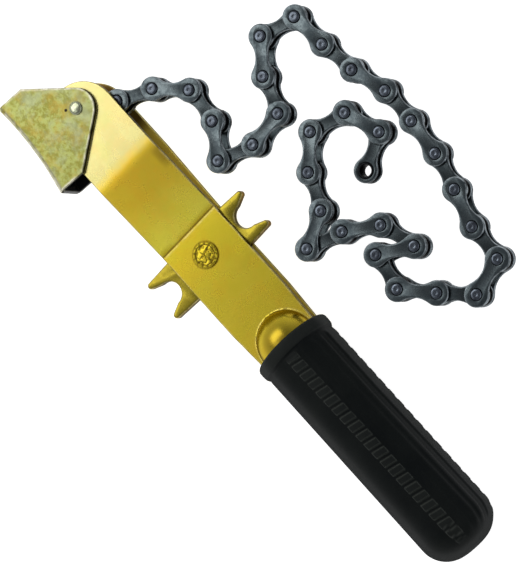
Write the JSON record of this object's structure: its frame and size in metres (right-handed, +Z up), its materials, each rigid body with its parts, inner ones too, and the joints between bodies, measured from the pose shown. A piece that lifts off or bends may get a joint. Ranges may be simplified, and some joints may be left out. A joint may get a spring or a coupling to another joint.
{
  "type": "oil filter wrench",
  "caption": "Chain-type oil filter wrench: riveted strip handle with a pivoting shoe, chain seats, a roller chain and a ribbed rubber grip.",
  "frame": {"origin": "middle of the base of the box round the whole part, lying flat with the chain stored beside the handle", "axes": "+X runs along the handle from the shoe to the grip's closed end, +Y points to the side where the chain is stored, +Z points up out of the front strip, along every pivot"},
  "size_m": [0.208, 0.104, 0.0277],
  "materials": {
    "strip_zinc": "bright yellow zinc plate, slightly iridescent",
    "shoe_zinc": "pale olive zinc plate, mottled",
    "chain_steel": "oiled black oxide steel",
    "grip_rubber": "black ribbed rubber, semi-gloss"
  },
  "bodies": {
    "handle": {"front_strip": "strip_zinc", "back_strip": "strip_zinc", "horn_plate": "strip_zinc", "centre_rivet": "strip_zinc", "pivot_rivet": "shoe_zinc", "pivot_washers": "chain_steel", "anchor_bush": "chain_steel", "anchor_roller": "chain_steel", "grip": "grip_rubber"},
    "shoe": {"shoe": "shoe_zinc"},
    "link_01": {"outer_link_01": "chain_steel"},
    "link_02": {"inner_link_01": "chain_steel", "rollers_01": "chain_steel"},
    "link_03": {"outer_link_02": "chain_steel"},
    "link_04": {"inner_link_02": "chain_steel", "rollers_02": "chain_steel"},
    "link_05": {"outer_link_03": "chain_steel"},
    "link_06": {"inner_link_03": "chain_steel", "rollers_03": "chain_steel"},
    "link_07": {"outer_link_04": "chain_steel"},
    "link_08": {"inner_link_04": "chain_steel", "rollers_04": "chain_steel"},
    "link_09": {"outer_link_05": "chain_steel"},
    "link_10": {"inner_link_05": "chain_steel", "rollers_05": "chain_steel"},
    "link_11": {"outer_link_06": "chain_steel"},
    "link_12": {"inner_link_06": "chain_steel", "rollers_06": "chain_steel"},
    "link_13": {"outer_link_07": "chain_steel"},
    "link_14": {"inner_link_07": "chain_steel", "rollers_07": "chain_steel"},
    "link_15": {"outer_link_08": "chain_steel"},
    "link_16": {"inner_link_08": "chain_steel", "rollers_08": "chain_steel"},
    "link_17": {"outer_link_09": "chain_steel"},
    "link_18": {"inner_link_09": "chain_steel", "rollers_09": "chain_steel"},
    "link_19": {"outer_link_10": "chain_steel"},
    "link_20": {"inner_link_10": "chain_steel", "rollers_10": "chain_steel"},
    "link_21": {"outer_link_11": "chain_steel"},
    "link_22": {"inner_link_11": "chain_steel", "rollers_11": "chain_steel"},
    "link_23": {"outer_link_12": "chain_steel"},
    "link_24": {"inner_link_12": "chain_steel", "rollers_12": "chain_steel"},
    "link_25": {"outer_link_13": "chain_steel"},
    "link_26": {"inner_link_13": "chain_steel", "rollers_13": "chain_steel"},
    "link_27": {"outer_link_14": "chain_steel"},
    "link_28": {"inner_link_14": "chain_steel", "rollers_14": "chain_steel"},
    "link_29": {"outer_link_15": "chain_steel"},
    "link_30": {"inner_link_15": "chain_steel", "rollers_15": "chain_steel"},
    "link_31": {"outer_link_16": "chain_steel"},
    "link_32": {"inner_link_16": "chain_steel", "rollers_16": "chain_steel"}
  },
  "joints": [
    {"name": "shoe_pivot", "type": "hinge", "parent": "handle", "child": "shoe", "pos_m": [-0.08463, -0.0281, 0.01385], "axis": [0, 0, 1], "range_deg": [-145, 20]},
    {"name": "chain_pivot_01", "type": "hinge", "parent": "handle", "child": "link_01", "pos_m": [-0.08463, -0.0281, 0.01385], "axis": [0, 0, 1], "range_deg": [0, 30]},
    {"name": "chain_pivot_02", "type": "hinge", "parent": "link_01", "child": "link_02", "pos_m": [-0.07753, -0.01757, 0.01385], "axis": [0, 0, 1], "range_deg": [0, 29]},
    {"name": "chain_pivot_03", "type": "hinge", "parent": "link_02", "child": "link_03", "pos_m": [-0.07177, -0.00626, 0.01385], "axis": [0, 0, 1], "range_deg": [0, 29]},
    {"name": "chain_pivot_04", "type": "hinge", "parent": "link_03", "child": "link_04", "pos_m": [-0.06248, 0.0024, 0.01385], "axis": [0, 0, 1], "range_deg": [0, 23]},
    {"name": "chain_pivot_05", "type": "hinge", "parent": "link_04", "child": "link_05", "pos_m": [-0.04985, 0.00108, 0.01385], "axis": [0, 0, 1], "range_deg": [-3, 12]},
    {"name": "chain_pivot_06", "type": "hinge", "parent": "link_05", "child": "link_06", "pos_m": [-0.03944, -0.00621, 0.01385], "axis": [0, 0, 1], "range_deg": [-3, 12]},
    {"name": "chain_pivot_07", "type": "hinge", "parent": "link_06", "child": "link_07", "pos_m": [-0.03489, 0.00565, 0.01385], "axis": [0, 0, 1], "range_deg": [-3, 12]},
    {"name": "chain_pivot_08", "type": "hinge", "parent": "link_07", "child": "link_08", "pos_m": [-0.036, 0.0183, 0.01385], "axis": [0, 0, 1], "range_deg": [-3, 12]},
    {"name": "chain_pivot_09", "type": "hinge", "parent": "link_08", "child": "link_09", "pos_m": [-0.04786, 0.02285, 0.01385], "axis": [0, 0, 1], "range_deg": [-3, 12]},
    {"name": "chain_pivot_10", "type": "hinge", "parent": "link_09", "child": "link_10", "pos_m": [-0.05758, 0.03101, 0.01385], "axis": [0, 0, 1], "range_deg": [0, 28]},
    {"name": "chain_pivot_11", "type": "hinge", "parent": "link_10", "child": "link_11", "pos_m": [-0.05387, 0.04316, 0.01385], "axis": [0, 0, 1], "range_deg": [0, 29]},
    {"name": "chain_pivot_12", "type": "hinge", "parent": "link_11", "child": "link_12", "pos_m": [-0.04118, 0.0436, 0.01385], "axis": [0, 0, 1], "range_deg": [0, 29]},
    {"name": "chain_pivot_13", "type": "hinge", "parent": "link_12", "child": "link_13", "pos_m": [-0.02855, 0.04493, 0.01385], "axis": [0, 0, 1], "range_deg": [-1, 28]},
    {"name": "chain_pivot_14", "type": "hinge", "parent": "link_13", "child": "link_14", "pos_m": [-0.01623, 0.048, 0.01385], "axis": [0, 0, 1], "range_deg": [0, 30]},
    {"name": "chain_pivot_15", "type": "hinge", "parent": "link_14", "child": "link_15", "pos_m": [-0.00353, 0.04756, 0.01385], "axis": [0, 0, 1], "range_deg": [0, 30]},
    {"name": "chain_pivot_16", "type": "hinge", "parent": "link_15", "child": "link_16", "pos_m": [0.00907, 0.04601, 0.01385], "axis": [0, 0, 1], "range_deg": [-1, 30]},
    {"name": "chain_pivot_17", "type": "hinge", "parent": "link_16", "child": "link_17", "pos_m": [0.02134, 0.04272, 0.01385], "axis": [0, 0, 1], "range_deg": [-1, 30]},
    {"name": "chain_pivot_18", "type": "hinge", "parent": "link_17", "child": "link_18", "pos_m": [0.03342, 0.0388, 0.01385], "axis": [0, 0, 1], "range_deg": [0, 16]},
    {"name": "chain_pivot_19", "type": "hinge", "parent": "link_18", "child": "link_19", "pos_m": [0.04607, 0.03769, 0.01385], "axis": [0, 0, 1], "range_deg": [-1, 11]},
    {"name": "chain_pivot_20", "type": "hinge", "parent": "link_19", "child": "link_20", "pos_m": [0.04936, 0.02543, 0.01385], "axis": [0, 0, 1], "range_deg": [0, 10]},
    {"name": "chain_pivot_21", "type": "hinge", "parent": "link_20", "child": "link_21", "pos_m": [0.04022, 0.0166, 0.01385], "axis": [0, 0, 1], "range_deg": [0, 12]},
    {"name": "chain_pivot_22", "type": "hinge", "parent": "link_21", "child": "link_22", "pos_m": [0.03064, 0.00827, 0.01385], "axis": [0, 0, 1], "range_deg": [0, 17]},
    {"name": "chain_pivot_23", "type": "hinge", "parent": "link_22", "child": "link_23", "pos_m": [0.01817, 0.0107, 0.01385], "axis": [0, 0, 1], "range_deg": [0, 26]},
    {"name": "chain_pivot_24", "type": "hinge", "parent": "link_23", "child": "link_24", "pos_m": [0.0249, 0.02147, 0.01385], "axis": [0, 0, 1], "range_deg": [-1, 2]},
    {"name": "chain_pivot_25", "type": "hinge", "parent": "link_24", "child": "link_25", "pos_m": [0.01263, 0.01818, 0.01385], "axis": [0, 0, 1], "range_deg": [-4, 3]},
    {"name": "chain_pivot_26", "type": "hinge", "parent": "link_25", "child": "link_26", "pos_m": [0.00535, 0.00777, 0.01385], "axis": [0, 0, 1], "range_deg": [0, 17]},
    {"name": "chain_pivot_27", "type": "hinge", "parent": "link_26", "child": "link_27", "pos_m": [0.00121, -0.00423, 0.01385], "axis": [0, 0, 1], "range_deg": [-6, 8]},
    {"name": "chain_pivot_28", "type": "hinge", "parent": "link_27", "child": "link_28", "pos_m": [-0.00416, 0.00728, 0.01385], "axis": [0, 0, 1], "range_deg": [-26, 15]},
    {"name": "chain_pivot_29", "type": "hinge", "parent": "link_28", "child": "link_29", "pos_m": [-0.01567, 0.01264, 0.01385], "axis": [0, 0, 1], "range_deg": [-3, 26]},
    {"name": "chain_pivot_30", "type": "hinge", "parent": "link_29", "child": "link_30", "pos_m": [-0.02433, 0.02193, 0.01385], "axis": [0, 0, 1], "range_deg": [-15, 7]},
    {"name": "chain_pivot_31", "type": "hinge", "parent": "link_30", "child": "link_31", "pos_m": [-0.02061, 0.03408, 0.01385], "axis": [0, 0, 1], "range_deg": [-13, 8]},
    {"name": "chain_pivot_32", "type": "hinge", "parent": "link_31", "child": "link_32", "pos_m": [-0.00847, 0.03779, 0.01385], "axis": [0, 0, 1], "range_deg": [-1, 30]}
  ]
}
